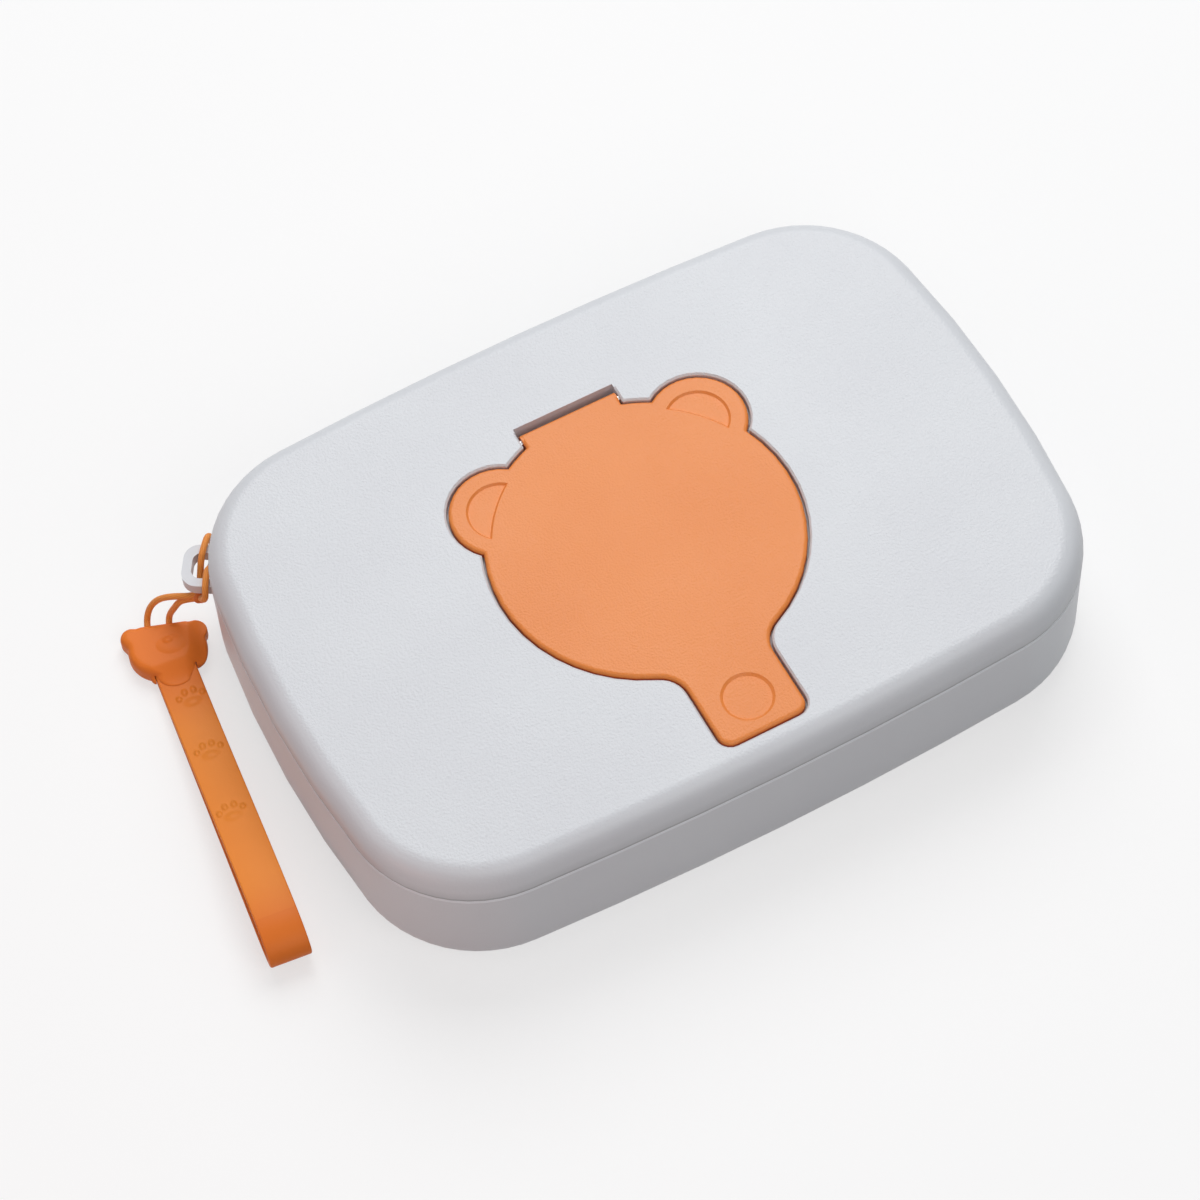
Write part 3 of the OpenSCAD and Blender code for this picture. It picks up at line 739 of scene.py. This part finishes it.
band_orange = moulded("band_orange", (0.92, 0.285, 0.032), (0.86, 0.25, 0.026), 0.5, 0.35, 0.2, spread=0.1,
                      specular=0.3)
# Painted shade: deeper towards the head, which lies in the box's shadow, and in the fold.
paint_band_shade(band_orange, 17, (58, 74), (0.80, 0.19, 0.018))
add_paws(band_orange, ((7.2, 1.0), (22.6, 0.2), (40.5, -0.4)))
settle(band, "soft_band", "strap", band_orange)
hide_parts("strap_band")

# %% [markdown]
# ## The strap's head
# The head is a fat rubber moulding with two ear bumps, a flat top edge and a chin that flows onto the band. A
# subdivided box could be pulled into this form, but its outline would be lost. The CAD head has the right
# outline, so a copy of its mesh is the start. Balls that are squashed flat make the low muzzle and the swelling
# over the band, a remesh fuses all of it into a single skin, and the slot for the band is cut at the end.

# %% Start from the CAD head
head = bpy.data.objects.new("soft_head", node["strap_head"].data.copy())
bpy.context.scene.collection.objects.link(head)
in_edit_mode(head, lambda: bpy.ops.mesh.remove_doubles(threshold=weld_gap))


def lump(where, turn, size):
    """A squashed ball in mm: its half sizes along its own x, y and z."""
    bpy.ops.object.select_all(action="DESELECT")
    bpy.ops.mesh.primitive_uv_sphere_add(radius=0.001, location=where, rotation=(0, 0, turn), segments=48,
                                         ring_count=32)
    made = bpy.context.object
    made.scale = size
    pick(made)
    bpy.ops.object.transform_apply(location=True, rotation=True, scale=True)
    return made


chin = lump(on_band(-0.8, 0.0, 2.4), band_turn, (4.4, 4.85, 2.4))
cheek = lump(at_head(7.2, -0.4, 2.3), head_turn, (2.3, 4.8, 2.1))
web = lump(on_band(-3.4, 5.2, 2.1), band_turn, (3.2, 1.7, 1.7))
flare = lump(on_band(-2.8, -5.0, 1.9), band_turn, (2.8, 1.0, 1.5))
print("head: lumps", [o.name for o in (chin, cheek, web, flare)])

# %% Fuse them, and let the top run down to the band in one ramp
pick(head, chin, cheek, web, flare)
bpy.ops.object.join()
add_modifier(head, "REMESH", mode="VOXEL", voxel_size=0.00016)


def ease(value):
    """Goes from 0 to 1 with soft ends."""
    value = min(1, max(0, value))
    return value * value * (3 - 2 * value)


for vertex in head.data.vertices:
    along = 1000 * (vertex.co - band_from).dot(band_run)
    side = 1000 * (vertex.co - head_mid).dot(head_side)
    ceiling = 5.4 - 1.85 * ease((along + 5.2) / 8) - 1.9 * ease((side - 4) / 5.2)
    vertex.co.z = min(vertex.co.z, ceiling / 1000)
add_modifier(head, "SMOOTH", factor=0.5, iterations=22)
print("head: fused, faces", len(head.data.polygons))

# %% Its muzzle, in two low steps
muzzle = lump(at_head(1.5, 0.0, 4.4), head_turn, (4.4, 3.1, 0.95))
nose = lump(at_head(0.9, 0.9, 5.1), head_turn, (1.2, 0.75, 0.5))
pick(head, muzzle, nose)
bpy.ops.object.join()
add_modifier(head, "REMESH", mode="VOXEL", voxel_size=0.00015)
add_modifier(head, "SMOOTH", factor=0.5, iterations=5)
print("head: with muzzle, faces", len(head.data.polygons))

# %% Cut its slot
slot_deep, slot_play, slot_high = 0.018, 0.0003, 0.00445
bpy.ops.object.select_all(action="DESELECT")
bpy.ops.mesh.primitive_cube_add(size=1, location=on_band(2, 0, 1.225), rotation=(0, 0, band_turn))
slot_cutter = bpy.context.object
slot_cutter.scale = (slot_deep, band_wide + slot_play, slot_high)
pick(slot_cutter)
bpy.ops.object.transform_apply(location=True, rotation=True, scale=True)
add_modifier(head, "BOOLEAN", operation="DIFFERENCE", object=slot_cutter, solver="EXACT")
bpy.data.objects.remove(slot_cutter)
pick(head)
bpy.ops.object.shade_smooth_by_angle(angle=soft_edge)
head_orange = moulded("head_orange", (0.84, 0.205, 0.02), (0.77, 0.175, 0.015), 0.5, 0.35, 0.2, spread=0.1,
                      specular=0.3)
settle(head, "soft_head", "strap", head_orange)
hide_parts("strap_head")
print("head: finished, faces", len(head.data.polygons))

# %% [markdown]
# ## Smooth shading for the CAD pieces
# A CAD node arrives as loose triangles. Its mesh stays as it is: a Weld joins the corners, an Edge Split keeps
# the sharp edges sharp, and Weighted Normals let the large flat faces decide the shading next to a round edge,
# so that the flat top doesn't look dished.

# %% Shade the rigid pieces
def soften(name, material, angle=20):
    """Smooth shading by modifiers alone, and a finish."""
    piece = node[name]
    piece.data.polygons.foreach_set("use_smooth", [True] * len(piece.data.polygons))
    weld = piece.modifiers.new("weld", "WELD")
    weld.merge_threshold = weld_gap
    split = piece.modifiers.new("split", "EDGE_SPLIT")
    split.split_angle = radians(angle)
    even = piece.modifiers.new("even", "WEIGHTED_NORMAL")
    even.keep_sharp = True
    piece.data.materials.clear()
    piece.data.materials.append(material)


rigid_finishes = {
    "base_tray": shell_white, "top_cover": shell_white, "flip_lid": lid_orange, "cover_seal": seal_grey,
    "lid_seal": seal_grey, "outlet_insert": insert_pale, "hinge_pin": pin_steel}
for name, material in rigid_finishes.items():
    soften(name, material)
print("shaded:", sorted(rigid_finishes))

# %% [markdown]
# ## The table and the backdrop
# The photograph is cut out on white. More light would make the floor white, but it would bleach the box as well.
# So the floor and the backdrop show their white only to the rays that look at them: those of the camera, and
# those of a gloss or a glass that mirrors them. To such a ray the floor is three fifths its own plain white and
# two fifths matt white, so it looks white and still keeps the box's soft shadow. For the light that it throws
# back at the box it is a calmer grey, and the lamps stay at a plain level.

# %% Rays that see the white
def background_rays(tree):
    """1 for camera, glossy and transmission rays, which all see the white background, and 0 for the rest."""
    looks = add_node(tree, "LightPath")
    mirrored = combine(tree, "MAXIMUM", looks.outputs["Is Glossy Ray"], looks.outputs["Is Transmission Ray"])
    return combine(tree, "MAXIMUM", looks.outputs["Is Camera Ray"], mirrored)


def mix_shaders(tree, factor, first, second):
    """Mixes two shaders by a factor, which is a socket or a number."""
    made = add_node(tree, "MixShader")
    feed(tree, made.inputs, (factor, first, second))
    return made.outputs[0]


white = (1, 1, 1, 1)
print("background:", white)

# %% Floor
pick(lug_hitch)
bpy.ops.mesh.primitive_plane_add(size=6, location=(0, 0, -0.00002))
floor = bpy.context.object
floor.name = "table"
floor_white, floor_tree, floor_shader = new_finish("floor_white")
floor_shader.inputs["Base Color"].default_value = (0.42, 0.42, 0.42, 1)
floor_shader.inputs["Roughness"].default_value = 0.9
floor_shader.inputs["Specular IOR Level"].default_value = 0.0
matt_white = add_node(floor_tree, "BsdfDiffuse", Color=white)
plain_white = add_node(floor_tree, "Emission", Color=white, Strength=1.0)
looks_white = mix_shaders(floor_tree, 0.6, matt_white.outputs[0], plain_white.outputs[0])
surface = mix_shaders(floor_tree, background_rays(floor_tree), floor_shader.outputs[0], looks_white)
floor_tree.links.new(surface, floor_tree.nodes["Material Output"].inputs["Surface"])
floor.data.materials.append(floor_white)
print("floor: white to the camera, with the box's shadow")

# %% World
world = bpy.data.worlds.new("studio")
bpy.context.scene.world = world
world.use_nodes = True
sky = world.node_tree
ambient = sky.nodes["Background"]
ambient.inputs["Color"].default_value = (0.90, 0.94, 1.0, 1)
ambient.inputs["Strength"].default_value = 0.16
backdrop = add_node(sky, "Background", Color=white, Strength=1.0)
air = mix_shaders(sky, background_rays(sky), ambient.outputs[0], backdrop.outputs[0])
sky.links.new(air, sky.nodes["World Output"].inputs["Surface"])
print("world: soft light of strength", round(ambient.inputs["Strength"].default_value, 2))

# %% [markdown]
# ## Lamps
# In the photograph the light comes from the right and a little from behind: the roundover on the right is
# bright and the walls towards the camera are grey. A large soft box does that. Weak ones fill the left and the
# front, and a small warm one low on the left gives that wall the glow that the orange strap throws on it.

# %% Soft boxes
def soft_box(name, where, size, power, colour=(1, 1, 1)):
    """An area lamp that looks at the box."""
    lamp = bpy.data.lights.new(name, "AREA")
    lamp.shape, lamp.size, lamp.size_y = "RECTANGLE", size[0], size[1]
    lamp.energy, lamp.color = power, colour
    made = bpy.data.objects.new(name, lamp)
    bpy.context.scene.collection.objects.link(made)
    made.location = where
    made.rotation_euler = (aim - Vector(where)).to_track_quat("-Z", "Y").to_euler()
    print("lamp:", name, power, "W")


soft_box("key", (0.35, 0.65, 1.0), (1.0, 1.0), 11.5)
soft_box("fill_left", (-0.9, 0.2, 0.8), (0.8, 0.8), 1.2, (1.0, 0.96, 0.95))
soft_box("fill_front", (0.05, -0.75, 0.75), (0.9, 0.6), 2.9, (1.0, 0.98, 0.97))
soft_box("warm_left", (-0.5, -0.18, 0.08), (0.25, 0.12), 0.28, (1.0, 0.42, 0.32))
bpy.context.scene.view_settings.view_transform = "Standard"
